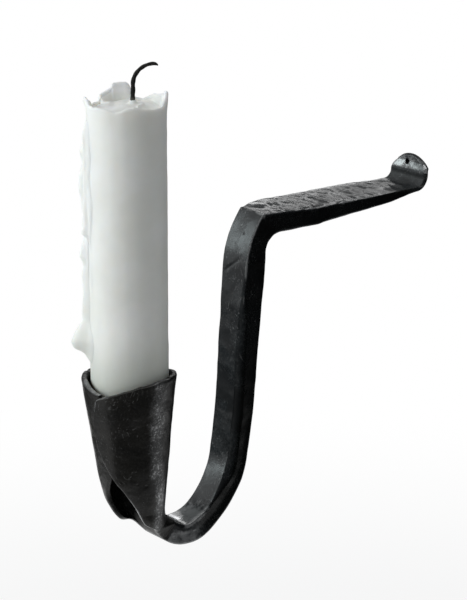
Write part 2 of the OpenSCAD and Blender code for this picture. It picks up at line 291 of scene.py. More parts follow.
def resampled(parts, step):
    """Stations at even steps along each stretch, with one at every joint between
    stretches. Returns the front line, the back line, the length reached, and the
    number of each stretch's last station."""
    front, back, length, marks = [], [], [], []
    reached = 0.0
    for k, (f, b) in enumerate(parts):
        run = np.concatenate([[0], np.cumsum(np.linalg.norm(np.diff(0.5 * (f + b), axis=0), axis=1))])
        count = max(3, int(round(run[-1] / step)))
        s = np.linspace(0, run[-1], count + 1)[(1 if k else 0):]
        for lines, points in ((front, f), (back, b)):
            lines.append(np.stack([np.interp(s, run, points[:, c]) for c in (0, 1)], -1))
        length.append(reached + s)
        reached += run[-1]
        marks.append(sum(len(x) for x in front) - 1)
    return np.concatenate(front), np.concatenate(back), np.concatenate(length), marks


def plan_half(y):
    """Half width of the bar seen from above: narrow in the stem, spread in the arm,
    drawn in at the neck and out again at the ear."""
    w, neck_end = BAR_W, -NECK_Y + NECK_LEN
    for wide, start, run in ((ARM_W, corner_y, ARM_SPREAD), (NECK_W, -NECK_Y - NECK_RUN, NECK_RUN),
                             (EAR_W, neck_end, EAR_ROOT + EAR_BEND - neck_end)):
        w = lerp(w, wide, ease((y - start) / run))
    return w / 2


# Points on each face, corner and side of a ring, which starts midway on the far side
FACE_N, CORNER_N, SIDE_N = 59, 9, 18
RING_N = 2 * FACE_N + 4 * CORNER_N + 2 * SIDE_N
FACE_LEAD = SIDE_N // 2 + CORNER_N


def section(left, right, thick, front_r, back_r, cham_x, cham_d, cham_p):
    """Ring of the bar's section as sideways places and depths behind the front face:
    a rectangle whose four corners are quarter arcs, of which the near front one is a
    chamfer: |x|^p + |d|^p = 1, round for p = 2 and straight for p = 1. All are columns."""
    c = np.linspace(0, 1, CORNER_N + 2)[1:-1] * np.pi / 2
    full = np.linspace(0, 1, FACE_N)
    half = (np.arange(SIDE_N // 2) + 0.5) / (SIDE_N // 2)
    side = (np.arange(SIDE_N) + 0.5) / SIDE_N
    start, end = 1 - np.cos(c), 1 - np.sin(c)
    p = 2.0 / cham_p
    runs = [
        (left, lerp(0.5 * thick, front_r, half)),
        (left + front_r * start, front_r * end),
        (lerp(left + front_r, right - cham_x, full), 0 * left),
        (right - cham_x * (1 - np.sin(c) ** p), cham_d * (1 - np.cos(c) ** p)),
        (right, lerp(cham_d, thick - back_r, side)),
        (right - back_r * start, thick - back_r * end),
        (lerp(right - back_r, left + back_r, full), thick),
        (left + back_r * end, thick - back_r * start),
        (left, lerp(thick - back_r, 0.5 * thick, half)),
    ]
    return [np.concatenate([run[k] + 0 * run[1 - k] for run in runs], 1) for k in (0, 1)]


def ear_patch(s, a, inset):
    """Sideways places and heights of the ear's upright part, by a share s up it and a
    share a across: the blend of its four edges less the blend of its corners. The edges
    are the bend line below, and a circle cut in three for the sides and the top."""
    r = EAR_R - inset
    top_l, top_r = np.radians(128), np.radians(50)
    start_r = np.arcsin((ARM_Z + EAR_BEND - EAR_C) / r)

    def rim(t):
        x, z = EAR_SHIFT + r * np.cos(t), EAR_C + r * np.sin(t)
        return np.minimum(x, EAR_W / 2 - inset + 0.55 * bump(z, -0.9, 0.8)), z
    out = []
    for left, right, top in zip(rim(lerp(np.pi - start_r, top_l, s)), rim(lerp(start_r, top_r, s)),
                                rim(lerp(top_l, top_r, a))):
        low = lerp(left[0], right[0], a)
        out.append(lerp(low, top, s) + lerp(left, right, a) - lerp(low, lerp(left[-1], right[-1], a), s))
    return out


def ear_rings(last, far, near):
    """Rings of the ear's upright part: the last section's place across, between its
    far and near edge, is carried over the patch, and rings that shrink close the rim."""
    rows, close_n, inset = 26, 7, EAR_T / 2
    last_x, last_y = last[:, 0], last[:, 1]
    up = np.linspace(0, 1, rows)[:, None]
    across = np.clip((last_x + far - inset) / (near + far - 2 * inset), 0, 1)
    px, pz = ear_patch(up, across[None, :], inset)
    proud_x = last_x - lerp(-far + inset, near - inset, across)
    proud = np.abs(proud_x)[None, :]
    outward = np.stack([px - EAR_SHIFT, pz - EAR_C], -1)
    outward /= np.linalg.norm(outward, axis=-1, keepdims=True)
    flat = np.stack([np.sign(proud_x)[None, :] + 0 * pz, 0 * pz], -1)
    aim = lerp(flat, outward, ease(up * 1.6)[..., None])
    px = px + proud * aim[..., 0]
    pz = pz + proud * aim[..., 1]
    ear_grid = np.stack([px, np.broadcast_to(last_y, px.shape), pz], -1)
    k = ((np.arange(close_n) + 1) / close_n * 0.97 * np.pi / 2)[:, None]
    body = ear_grid[-1][:, [0, 2]][None] - proud[..., None] * outward[-1][None]
    offset = np.hypot(proud * np.cos(k), inset * np.sin(k))
    pulled = body + offset[..., None] * outward[-1][None]
    close_y = (last_y + inset)[None, :] * np.cos(k) - inset
    return np.concatenate([ear_grid[1:], np.stack([pulled[..., 0], close_y, pulled[..., 1]], -1)])


# Rounding of the front corners at the socket and beyond it, and of the back ones; width,
# depth and power of the chamfer on the stem; and how far the bend's near side is upset
ROOT_ROUND, FRONT_ROUND, BACK_ROUND = 1.1, 0.45, 0.55
CHAMFER_W, CHAMFER_D, CHAMFER_P, UPSET = 2.3, 1.9, 1.18, 1.5


def bar_surface(step=0.46):
    """The whole bar as a grid of rings: section rings along the path up to the ear's
    bend, then the ear's own. Returns it, the length at each ring, the lengths and rings
    at which the stretches end, and the ear's first ring."""
    front, back, s, marks = resampled(bar_path(), step)
    at = s[marks]
    y, z = front[:, 0], front[:, 1]
    in_arm = (y > corner_y) & (z > SPLIT_Z)
    w_far = np.where(in_arm, plan_half(y), BAR_W / 2)
    far_lead = lerp(BAR_W, ARM_W, ease((y - corner_y) / 12.5)) / 2
    dented = np.where(in_arm, 0.5 * bump(y, -43.1, 1.7) - 0.3 * bump(y, -47.5, 3.0), 0)
    on_bar = ease(s / 12.0) * (1 - ease((y + 12.0) / 6.0))
    w_near = w_far + dented + (0.25 + 0.16 * waver(s, 6.0, 4)) * on_bar
    w_far = np.where(in_arm & (y < corner_y + ARM_SPREAD), np.maximum(w_far, far_lead), w_far)
    w_far = w_far + (0.2 + 0.16 * waver(s, 7.0, 3)) * on_bar
    ear_half = np.sqrt(np.maximum(EAR_R ** 2 - (z - EAR_C) ** 2, 0.0))
    w_far = np.where(s > at[EAR], np.minimum(w_far, ear_half - EAR_SHIFT), w_far)
    thick = np.linalg.norm(back - front, axis=1)
    low_stem = window(s, at[BEND_LOW], 14.0, at[STEM_MID] + 22.0, 26.0)
    thin = np.minimum(1.0, thick / 4.2)
    front_r = np.where(s > at[CREASE], 0.5 * thin, lerp(ROOT_ROUND, FRONT_ROUND, ease(s / 10.0)) * thin)
    radii = [front_r, BACK_ROUND * thin] + [lerp(front_r, size, low_stem) for size in (CHAMFER_W, CHAMFER_D)]
    radii = [column(lerp(v, 0.46 * EAR_T, ease((s - at[EAR]) / 4.0))) for v in radii]
    thick = column(thick)
    x, d = section(-column(w_far), column(w_near), thick, *radii, column(lerp(2.0, CHAMFER_P, low_stem)))

    # The near side of the bend is upset towards its hollow
    upset = column(UPSET * window(s, 4.0, 10.0, 22.0, 14.0))
    d = d - upset * np.clip((x + 5.3) / 9.5, 0, 1) * (1 - np.clip(d / thick, 0, 1))
    grid = np.stack([x] + [lerp(column(front[:, k]), column(back[:, k]), d / thick) for k in (0, 1)], -1)
    ear = ear_rings(grid[-1], w_far[-1], w_near[-1])
    ear_s = s[-1] + np.linspace(0, 1, len(ear) + 1)[1:] * (EAR_TOP - ARM_Z - EAR_BEND)
    return np.concatenate([grid, ear]), np.concatenate([s, ear_s]), at, marks, len(grid)


bar, bar_s, bar_at, bar_marks, ear_first = bar_surface()

# Hammer blows: width of the strip they fall on, spacing, size, depth and seed
TOP_BLOWS, BROAD_BLOWS = (18.0, 3.1, 2.0, 0.46, 5), (18.0, 6.5, 4.6, 0.3, 8)
UNDER_BLOWS, STEM_BLOWS = (18.0, 5.5, 5.0, 0.2, 9), (12.0, 6.5, 5.5, 0.16, 11)
SIDE_BLOWS = 40.0, 7.0, 5.0, 0.1, 21

# Dents on the arm's top: depth, place and width along the arm, place and width across
DENTS = ((-0.75, -42.0, 2.0, 6.4, 1.5), (-0.3, -33.5, 1.3, 5.4, 1.4), (0.28, -45.2, 1.2, 6.9, 1.4),
         (-0.35, -24.0, 2.2, 3.0, 2.0))


def face_mask(middle):
    """1 on the face whose middle is at this place of the ring, 0 beyond its corners."""
    away = np.abs(np.arange(RING_N) - middle) / (FACE_N / 2 + CORNER_N + 4)
    return np.clip(ease(1.15 - away) * 6, 0, 1)[None, :]


def marked_relief(grid, s, at):
    """Moves the bar's surface along its normal: hammer dishes on the arm's top, softer
    ones on the stem, the sides and under the arm, dents by the near edge, a short
    forging mark on the stem, the ear's swell, and a slow wander. Returns it, the front
    face's mask, the ridges between dishes and the dishes' floors."""
    x, y, z = grid[..., 0], grid[..., 1], grid[..., 2]
    along = s[:, None] + 0 * x
    from_crease, arm_len = along - at[CREASE], at[EAR] - at[CREASE]
    front, back = face_mask(FACE_LEAD + FACE_N / 2), face_mask(RING_N - FACE_LEAD - FACE_N / 2)
    arm_on = window(along, at[CREASE] + 0.3, 2.5, at[EAR] + 1.0, 3.0)
    stem_on = window(along, 6.0, 8.0, at[CREASE] - 1.5, 1.5)
    far_corner = bump(along, at[CREASE] + 4.0, 7.0) * ease(-x / 4.0)
    top = blows(from_crease, x, arm_len, *TOP_BLOWS, skew=0.15, long=2.3, wild=0.35)
    top = top + blows(from_crease, x, arm_len, *BROAD_BLOWS, skew=0.2)
    top = top * lerp(0.3, 1.0, ease((x + plan_half(y)) / 6.0)) * (1 - 0.6 * far_corner)
    under = blows(from_crease, x, arm_len, *UNDER_BLOWS)
    side = blows(along, z + 0.6 * y, s[-1], *SIDE_BLOWS)
    stem = blows(along, x, at[CREASE], *STEM_BLOWS, skew=0.2)
    mark = -0.16 * bump(z + 20.9 - 0.7 * (x + 0.5), 0.0, 0.5) * window(x, -4.6, 1.5, 1.8, 2.0)
    stem = stem + mark * (y < -30)
    dent = sum(deep * bump(y, y_at, y_w) * bump(x, x_at, x_w) for deep, y_at, y_w, x_at, x_w in DENTS)
    h = front * arm_on * (1.3 * top + dent) + front * stem_on * stem
    h = h + back * (arm_on * under + 0.7 * stem_on * stem)
    h = h + (1 - front) * (1 - back) * (stem_on + arm_on) * 0.8 * side

    # The ear swells to a ridge below the hole and falls off above it
    over = 0.5 * (np.hypot(z + 2.2, 0.5) + z + 2.2)
    ridge = 0.5 * ease((z + 6.2) / 3.8) - 0.28 * np.minimum(over, 2.3) - 0.1 * np.maximum(z + 0.1, 0)
    h = h + front * ease((along - at[EAR_UP] + 3.0) / 3.0) * ridge
    h = h + (0.07 * noise(grid, 6.0, 31) + 0.03 * noise(grid, 2.2, 32)) * ease(along / 6.0)

    # The faces stand a little proud of the part's solids, up to the neck
    to_neck = 1 - ease((along - at[NECK] + 8.0) / 8.0)
    bend_on = window(along, 0.0, 6.0, at[BEND_END] + 2.0, 10.0)
    h = h + back * ease(along / 6.0) * to_neck * (0.33 + 0.15 * bend_on)
    h = h + front * (0.12 * stem_on + arm_on * to_neck * (0.3 + 0.22 * far_corner))
    moved = grid + ring_normals(grid) * h[..., None]
    moved[..., 1] = np.minimum(moved[..., 1], 0.0)
    deep, low, high, crest = np.percentile(top[(front * arm_on) > 0.9], [4, 45, 60, 97])
    ridges = arm_on * ease((top - high) / (crest - high)) + 0.35 * stem_on * ease((stem + 0.1) / 0.1)
    dishes = arm_on * ease((low - top) / (low - deep))
    return moved, front, front * ridges, front * dishes


def vertex_normals(verts, quads):
    """Normals per point: the sum of the normals of the quads that meet there."""
    n = np.cross(verts[quads[:, 2]] - verts[quads[:, 0]], verts[quads[:, 3]] - verts[quads[:, 1]])
    total = np.zeros_like(verts)
    for k in range(4):
        np.add.at(total, quads[:, k], n)
    return total / np.maximum(np.linalg.norm(total, axis=1, keepdims=True), 1e-12)


def drill_ear(grid, first_row):
    """Opens the nail hole: the square block of cells round the hole is left out on
    both faces, the points round it slide onto a circle and fade back to the grid, and
    rings of points join the two faces. Returns the moved grid, the block and the loop."""
    half, reach = 5, 13
    face = grid[first_row:, FACE_LEAD:FACE_LEAD + FACE_N]
    i0, j0 = np.unravel_index(np.argmin(face[..., 0] ** 2 + face[..., 2] ** 2), face.shape[:2])
    i0, j0 = int(i0) + first_row, int(j0) + FACE_LEAD
    di, dj = np.meshgrid(np.arange(-reach, reach + 1), np.arange(-reach, reach + 1), indexing="ij")
    far = np.maximum(np.abs(di), np.abs(dj)) / half
    way = np.stack([dj, di], -1) / np.maximum(np.hypot(dj, di), 1)[..., None]
    cell = 0.5 * abs(grid[i0, j0 + 1, 0] - grid[i0, j0 - 1, 0])
    fade = ease((far - 1) / (reach / half - 1))[..., None]
    rows = i0 + di
    out = grid.copy()
    for cols, flare in ((j0 + dj, 0.1), (RING_N - 1 - (j0 + dj), -0.12)):
        circle = way * (NAIL_R + flare + np.maximum(far - 1, 0) * half * cell)[..., None]
        flat = lerp(circle, grid[rows, cols][..., [0, 2]], fade)
        out[rows, cols] = np.stack([flat[..., 0], grid[rows, cols][..., 1], flat[..., 1]], -1)
    n, edge = np.arange(2 * half) - half, np.full(2 * half, half)
    loop = i0 + np.concatenate([-edge, n, edge, -n]), j0 + np.concatenate([n, edge, -n, -edge])
    return out, (i0, j0, half), loop


def within(place, middle, half):
    return (place >= middle - half) & (place < middle + half)


bar, on_front, ridges, dishes = marked_relief(bar, bar_s, bar_at)
bar, (hole_row, hole_col, hole_half), (loop_row, loop_col) = drill_ear(bar, ear_first)
ring_total = len(bar)
tube_first = ring_total * RING_N
bar_verts = bar.reshape(-1, 3)
bar_quads = np.array(loop_faces(ring_total, RING_N))
row_of, col_of = bar_quads[:, 0] // RING_N, bar_quads[:, 0] % RING_N
drilled = within(col_of, hole_col, hole_half) | within(RING_N - 2 - col_of, hole_col, hole_half)
bar_quads = bar_quads[~(within(row_of, hole_row, hole_half) & drilled)]
front_loop = loop_row * RING_N + loop_col
back_loop = loop_row * RING_N + RING_N - 1 - loop_col
tube = []
for depth, radius in ((0.12, NAIL_R + 0.02), (0.5, NAIL_R - 0.06), (0.9, NAIL_R - 0.14)):
    ring = lerp(bar_verts[front_loop], bar_verts[back_loop], depth)
    flat = ring[:, [0, 2]] / np.linalg.norm(ring[:, [0, 2]], axis=1, keepdims=True) * radius
    tube.append(np.stack([flat[:, 0], ring[:, 1], flat[:, 1]], -1))
bar_verts = np.concatenate([bar_verts] + tube)
tube_n = len(front_loop)
loops = [front_loop] + [tube_first + k * tube_n + np.arange(tube_n) for k in range(len(tube))] + [back_loop]
bar_quads = np.concatenate([bar_quads] + [np.stack([a, np.roll(a, -1), np.roll(b, -1), b], -1)
                                          for a, b in zip(loops[:-1], loops[1:])])
bar_normals = vertex_normals(bar_verts, bar_quads)


def bar_use():
    """How much bare metal shows at each point of the bar's rings, as one value that also
    carries painted highlights, and how much painted shade each point gets. The value is
    high near the section's corners, on the crease, on the ridges between blows and on the
    ear's rim; painted highlights raise it on a band across the ear, on the floor of
    the bend (highest), up the bend's front and on its near side; below 0 it only
    roughens. Painted shade darkens the sides and the fold at the foot of the ear."""
    x, z, s = bar[..., 0], bar[..., 2], bar_s[:, None]
    slot_at = np.arange(RING_N)[:, None]
    corner_at = np.cumsum([SIDE_N / 2, FACE_N, SIDE_N, FACE_N]) + CORNER_N * (np.arange(4) + 0.5)
    near_corner = np.clip(1.1 - np.abs(slot_at - corner_at) / 6.0, 0, 1)
    high_up = ease((s - bar_at[STEM_END] + 6.0) / 8.0)
    corner_share = np.array([0.35, 0.15, 0.45, 0.4]) + np.array([0.3, 1.35, 0.0, 0.0]) * high_up
    wear = np.max(near_corner[None] * corner_share[:, None, :], axis=2)
    # Wearing on the crease, raised towards its near end as a painted highlight.
    wear = np.maximum(wear, bump(s, bar_at[CREASE], 0.6) * on_front * (0.8 + 0.5 * ease((x - 1.0) / 3.0)))
    wear = np.maximum(wear, ridges) - dishes
    wear[-9:] = np.maximum(wear[-9:], 0.55)
    # Painted highlight: the floor of the bend is made pale, standing in for the reflection on it.
    rubbed_and_highlight = window(s, 0.3, 1.5, 7.5, 3.5) * on_front * ease((2.8 - x) / 3.0) * (x > -4.7)
    # Painted sheen: a paler patch up the front of the bend, standing in for reflected light.
    floor_sheen = window(s, 3.0, 3.0, 11.0, 14.0) * on_front
    # Painted sheen: a paler patch on the near side of the bend; the same zone keeps the painted shade off the
    # bend.
    at_bend = window(s, 0.0, 1.5, 8.0, 8.0)
    side_sheen = at_bend * (1 - on_front) * ease((x - 3.0) / 1.5)
    on_ear = ease((s - bar_at[EAR]) / 2.0) * on_front
    # Painted highlight: a pale band across the ear's front, strongest just below the hole.
    ear_highlight = 0.66 + 0.35 * bump(z, -0.9, 1.2) - 0.28 * ease((x - 1.0) / 4.0) + 0.25 * ease((-x - 0.5) / 2.5)
    ear_face = on_ear * ease((z + 2.9) / 1.1)
    for level, where in ((1.75, rubbed_and_highlight), (1.15, floor_sheen), (1.0, side_sheen), (ear_highlight, ear_face)):
        wear = np.maximum(wear, level * where)
    # Painted shade in the fold at the foot of the ear, which also roughens it.
    fold_shade = on_ear * (1 - ease((z + 3.0) / 0.8))
    wear = np.where(fold_shade > 0.05, -fold_shade, wear)
    # Painted shade: the sides are darkened, reaching further into the faces low on the bend.
    to_side = np.abs(slot_at - np.array([0, RING_N / 2, RING_N])).min(1)
    soot = 0.8 * ease((15.0 - 4.0 * high_up - to_side) / 4.0) * (1 - ease((s - bar_at[EAR] + 4.0) / 4.0))
    return wear, np.maximum(soot * (1 - at_bend), 0.5 * fold_shade)


# Inside the nail hole the points get painted shade and no bare metal
bar_wear_and_highlight, bar_shade = [np.concatenate([values.ravel(), np.full(tube_n * len(tube), in_hole)])
                      for values, in_hole in zip(bar_use(), (0.0, 0.8))]


def bar_piece(name, first, last, node):
    """One stretch of the bar from ring first to ring last, closed at both ends. The
    tube of the nail hole comes with the last one."""
    row = bar_quads[:, 0] // RING_N
    keep = (row >= first) & (row < last)
    end = (last + 1) * RING_N
    if last == ring_total - 1:
        keep |= bar_quads.max(1) >= tube_first
        end = len(bar_verts)
    ids = slice(first * RING_N, end)
    faces = (bar_quads[keep] - first * RING_N).tolist()
    faces += zip_cap(0, RING_N, False) + zip_cap(last - first, RING_N, True)
    use = {"wear": bar_wear_and_highlight[ids], "soot": bar_shade[ids]}
    return put_piece("holder", node, "iron", name, bar_verts[ids], faces, bar_normals[ids], use)


stem_piece = bar_piece("forged_stem", 0, bar_marks[SPLIT], "stem")
arm_piece = bar_piece("hammered_arm", bar_marks[SPLIT], bar_marks[NECK], "arm")
ear_piece = bar_piece("turned_up_ear", bar_marks[NECK], ring_total - 1, "wall_ear")


# The socket: the spread end of the bar, rolled round and lapped

ROUND = 0.85                                                     # height of the rim's rounding
NEAR_H = [0, 3, 6, 9, 12, 15, 18, 22, 26, SOCKET_H]              # the near flap's edge: heights,
NEAR_TURN = [123, 130, 138, 146, 154, 162, 169, 175, 177, 166]   # and its turn there in degrees


def round_off(distance, reach):
    """The half thickness near an edge, as a share: a rounded fall to nothing at it."""
    v = 1 - np.clip(distance / reach, 0, 1)
    return (1 - v ** 2.6) ** (1 / 2.6)


def socket_surface(root_rows=46, body_rows=118, cols=250):
    """Rings across the socket from its root at the bend to its rim. A ring has an
    outer and an inner line over turns from the far flap's edge to the near one's. At the
    back a line is a rectangle with round corners that grow until it is a circle. The
    half thickness falls to nothing at the flaps' edges and the rim, as a round edge.
    Returns both lines, the wear, and the share of the root, height and turn."""
    rise = np.arange(body_rows + 1) / body_rows * SOCKET_H
    rim = SOCKET_H - ROUND + ROUND * np.sin(np.linspace(0, 1, 8) * np.pi / 2)
    rise = np.concatenate([rise[rise < SOCKET_H - 1.0], rim])
    u = np.concatenate([np.arange(root_rows) / root_rows, np.ones(len(rise))])[:, None]
    h = np.concatenate([np.zeros(root_rows), rise])[:, None]
    share = h / SOCKET_H
    taper = lerp(FOOT_R, RIM_R, share) - FOOT_TUCK * (1 - np.clip(h / 15.0, 0, 1)) ** 2

    # Half width, back depth and front depth of a ring, and the wall at its root
    bar_t = BEND_T + ROOT_EXTRA
    r, m, fr = lerp(BAR_W / 2, taper, ease(u)), lerp(bar_t, taper, ease(u)), taper * u ** 1.6
    root = lerp(bar_t, lerp(FOOT_WALL, WALL, ease(h / ROOT_H)), ease(u))
    corner = np.minimum(lerp(1.15, taper, ease(u / 0.6)), np.minimum(r, m))
    near = lerp(90.0, np.interp(h, NEAR_H, NEAR_TURN), ease((u - 0.4) / 0.4))
    near = near + 0.9 * waver(h, 3.0, 41) * ease((h - 4) / 6)
    near = near - 9.0 * (1 - np.sqrt(1 - np.clip((h - SOCKET_H + 2.6) / 2.6, 0, 1) ** 2 * 0.998))
    far = lerp(172.0, 200.0, ease((h - 4.0) / 11.0)) - 4.0 * ease((h - 25.0) / 12.0)
    far = lerp(90.0, far, ease((u - 0.3) / 0.6))

    # Turns across a ring, closer together within a wall's half of each flap's edge
    bunch = 9
    girth = (far + near) / 180 * np.pi * r
    edge = 0.95 / girth
    q = 1 - np.cos(np.linspace(0, 1, bunch + 1)[:-1] * np.pi / 2)
    even = lerp(edge, 1 - edge, np.linspace(0, 1, cols - 2 * bunch))
    place = np.concatenate([edge * q, even, 1 - edge * q[::-1]], 1)
    t = lerp(-far, near, place)
    tr = np.radians(t)
    to_edge = np.minimum(place, 1 - place) * girth
    lap = (WALL + LAP_GAP) * ease(h / 12.0) * ease((t - 110.0) / 50.0)

    # Back part of the outer line: straight, round corner, straight, by length along it
    quarter = corner * np.pi / 2
    run = np.clip(np.abs(t) / 90.0, 0, 1) * ((r - corner) + quarter + (m - corner))
    bend = np.clip((run - (r - corner)) / corner, 0, np.pi / 2)
    out_x = np.sign(t) * (np.clip(run, 0, r - corner) + corner * np.sin(bend))
    out_d = corner * (1 - np.cos(bend)) + np.maximum(run - (r - corner) - quarter, 0)
    beyond = np.abs(t) > 90
    out_x = np.where(beyond, (r + lap) * np.sin(tr), out_x)
    out_d = np.where(beyond, m - (fr + lap) * np.cos(tr), out_d)
    in_x = (r - WALL + np.where(beyond, lap, 0)) * np.sin(tr)
    in_d = m - np.where(beyond, np.maximum(fr - WALL + lap, 0), m - root) * np.cos(tr)

    # Round edges, the rim's wave, and the place in the part
    fall = np.maximum(round_off(to_edge, 0.9) * round_off(SOCKET_H - h, 0.8), 0.03)
    wave = np.where(t > 0, RIM_RISE * np.sin(np.radians(180 * t / 133.0)) * np.where(t > 133, 2.0, 1.0), 0.0)
    wave = share ** 4 * (wave + 0.6 * bump(t, -128.0, 24.0) - 1.9 * ease((-t - 158.0) / 34.0))
    tilt = np.radians(45.0 * (1 - u))
    back = (RIM_R - FOOT_BACK) * share ** 1.3

    def placed(way):
        x = 0.5 * (out_x + in_x) + way * 0.5 * (out_x - in_x) * fall
        d = 0.5 * (out_d + in_d) + way * 0.5 * (out_d - in_d) * fall
        y = BEND_Y + back - (R_SOCKET + d) * np.cos(tilt)
        return np.stack([x, y, FOOT_Z + h + wave - (R_SOCKET + d) * np.sin(tilt)], -1)

    # Wear on the flaps' edges, least where they lap, and on the rim
    bare_edge = np.where(t > 0, 1.0 - 0.75 * window(h, 4.0, 6.0, 30.0, 5.0), 0.3)
    bare_edge = bare_edge * (1.0 + 0.3 * ease((u - 0.55) / 0.2) * (1 - ease((h - 1.0) / 3.0)) * (t > 0))
    worn_flap = np.clip(1.1 - to_edge / 0.9, 0, 1) * bare_edge * (0.25 + 0.75 * ease((u - 0.3) / 0.4))
    bare_rim = 0.35 + 0.3 * ease((-t - 60.0) / 40.0) + 0.35 * ease((-150.0 - t) / 15.0)
    bare_rim = bare_rim + 0.75 * ease((t - 146.0) / 8.0)
    worn_rim = np.clip(1.1 - (SOCKET_H - h) / 0.5, 0, 1) * bare_rim
    return placed(1), placed(-1), np.maximum(worn_flap, worn_rim), u, h, t


def socket_relief(outer, inner, u, h, t):
    """Soft flats left by rolling over a mandrel, fine unevenness and a nicked rim."""
    soft = 0.16 * noise(outer, 9.0, 51) + 0.07 * noise(outer, 3.4, 52) + 0.03 * noise(outer, 1.5, 53)
    on = ease((u - 0.15) / 0.5) * ease(h / 6.0 + 0.4)
    away = (outer - CANDLE_AT) * np.array([1, 1, 0])
    away /= np.maximum(np.linalg.norm(away, axis=-1, keepdims=True), 1e-6)
    dip = -0.25 * bump(t, 62.0, 14.0) * bump(h, 17.0, 9.0) - 0.2 * bump(t, 120.0, 16.0) * bump(h, 27.0, 8.0)
    fuller = ease((-t - 60.0) / 60.0) * (0.3 + 0.3 * bump(h, 5.0, 7.0))
    shift = away * (on * (soft + dip + fuller))[..., None]
    nick = 0.35 * np.minimum(waver(t / 9.0, 1.0, 55), 0.2) - 0.1
    shift[..., 2] += nick * ease((h - SOCKET_H + 3.0) / 3.0)
    return outer + shift, inner + shift


s_out, s_in, s_worn, *s_places = socket_surface()
s_out, s_in = socket_relief(s_out, s_in, *s_places)
socket_rings, socket_wear = [np.concatenate([a, b[:, ::-1]], 1) for a, b in ((s_out, s_in), (s_worn, s_worn))]
socket_faces = [face[::-1] for face in closed_rings(socket_rings)]
socket_piece = put_piece("holder", "socket", "iron", "rolled_socket", socket_rings.reshape(-1, 3),
                         socket_faces, None, {"wear": socket_wear})


# The candle, the wax that ran down it and the wick

FACING = 52.0      # direction, in degrees from +X, from which the turns of the melted rim count
RIM_TURN = [-180, -172, -160, -138, -119, -104, -96, -88, -76, -58, -36, -20, -8, 0, 6, 18, 32,
            45, 55, 67, 79, 84, 88, 93, 101, 114, 117, 127, 136, 140, 155, 168, 176, 180]
RIM_TOP = [79.2, 78.9, 77.6, 77.6, 77.7, 77.0, 77.3, 78.0, 78.4, 77.5, 77.2, 77.2, 79.2, 80.8, 80.6,
           79.4, 78.8, 78.6, 77.9, 76.8, 77.1, 78.9, 80.7, 81.3, 81.2, 81.1, 79.9, 79.0, 78.4, 76.6,
           76.4, 77.2, 79.0, 79.2]
LIP = 1.1                           # thickness of the standing wall of wax round the pool
POOL_R, POOL_Z, MOUND_Z = 9.0, 76.4, 76.9


def candle_surface(cols=252):
    """A closed surface of turning: flat bottom, whittled foot, side with faint flutes,
    melted rim of changing height, thin standing walls, pool, and a mound at the wick.
    Each row is a ring whose radius and height change with the turn."""
    turn = np.linspace(-180, 180, cols, endpoint=False)[None, :]
    rim = np.interp(turn, RIM_TURN, RIM_TOP) + 0.18 * waver(turn / 7.0, 1.0, 61)
    slope = (RIM_R - FOOT_R + FOOT_BACK - FOOT_R) / SOCKET_H
    seat_r = RIM_R - WALL - 0.3 - slope * SEAT_H
    in_front, at_back = bump(turn, 0, 10.0), bump(turn, -180, 8.0) + bump(turn, 180, 8.0)
    pool = np.minimum(POOL_Z + 0.5 * waver(turn / 25.0, 1.0, 63), rim - 0.5)
    flats = 0.35 * np.maximum(np.sin(np.radians(turn * 3.5 + 40)), 0)
    mid = CANDLE_R - LIP / 2 - 0.05 + 0.4 * in_front + 0.75 * at_back
    rows = [(seat_r * k, -SEAT_H + 0.4 * max(0.0, (k - 0.93) / 0.06)) for k in (0.02, 0.35, 0.7, 0.93, 0.99)]
    rows += [(lerp(seat_r, CANDLE_R, k) - flats * (1 - k), SEAT_H * (k - 1))
             for k in np.linspace(0.03, 0.97, 24)]
    for z in (lerp(0.0, rim - 1.6, k) for k in np.linspace(0, 1, 128)):
        spread = 0.5 * in_front * ease((z - 74) / 5) + 0.9 * at_back * ease((z - 75) / 4)
        rows.append((CANDLE_R - 0.12 + spread * 0.8, z))
    rows += [(mid + LIP / 2 * np.cos(k), rim - 0.9 + 0.9 * np.sin(k)) for k in np.linspace(0, np.pi, 11)]
    rows += [(lerp(CANDLE_R - LIP, POOL_R, ease(k) ** 0.8), lerp(rim - 1.0, pool, ease(k)))
             for k in np.linspace(0.08, 1, 12)]
    rows += [(POOL_R * (1 - k), lerp(pool, MOUND_Z, ease(k * 2))) for k in np.linspace(0.04, 0.995, 34)]
    r, z = [np.array([row[k] + 0 * turn for row in rows])[:, 0] for k in (0, 1)]
    a = np.radians(turn + FACING)
    pts = spun(r, a, z)
    flute = 0.07 * noise(np.stack([turn / 14.0 + 0 * z, z / 40.0], -1), 1.0, 64)
    flute = flute + 0.07 * noise(pts, 7.0, 65) + 0.03 * noise(pts, 2.5, 66)
    pts = pts + spun(ease((z + 2) / 4) * ease((r - 9.5) / 0.8) * flute, a, 0 * z)

    # The pool: a mound round the wick, and a fold in the skin
    near_wick = np.hypot(*np.moveaxis(pts[..., :2] - 1.7 * unit(FACING), -1, 0))
    mound = 1.5 * np.exp(-(near_wick / 1.0) ** 2) + 0.5 * np.exp(-(near_wick / 3.2) ** 2)
    mound = mound + 0.35 * noise(pts[..., :2], 3.0, 67) * ease((POOL_R - r) / 3.0)
    fold = 0.9 * bump(np.hypot(pts[..., 0] - 7.2, pts[..., 1] - 1.8), 2.6, 0.55) * (pts[..., 1] < 2.5)
    pts[..., 2] += np.where((z > 74) & (r < 9.2), mound + fold, 0)
    return pts + CANDLE_AT


def lathe_piece(name, grid, node, slot):
    """A piece of the candle from a grid of rings, closed by a fan at each pole."""
    rows, cols = grid.shape[:2]
    k = np.arange(cols)
    nxt, top, foot = (k + 1) % cols, (rows - 1) * cols, np.full(cols, rows * cols)
    faces = loop_faces(rows, cols) + np.stack([nxt, k, foot], -1).tolist()
    faces += np.stack([top + k, top + nxt, foot + 1], -1).tolist()
    verts = np.concatenate([grid.reshape(-1, 3), [grid[0].mean(0), grid[-1].mean(0)]])
    return put_piece("candle", node, slot, name, verts, faces)


candle_piece = lathe_piece("melted_candle", candle_surface(), "candle", "wax")

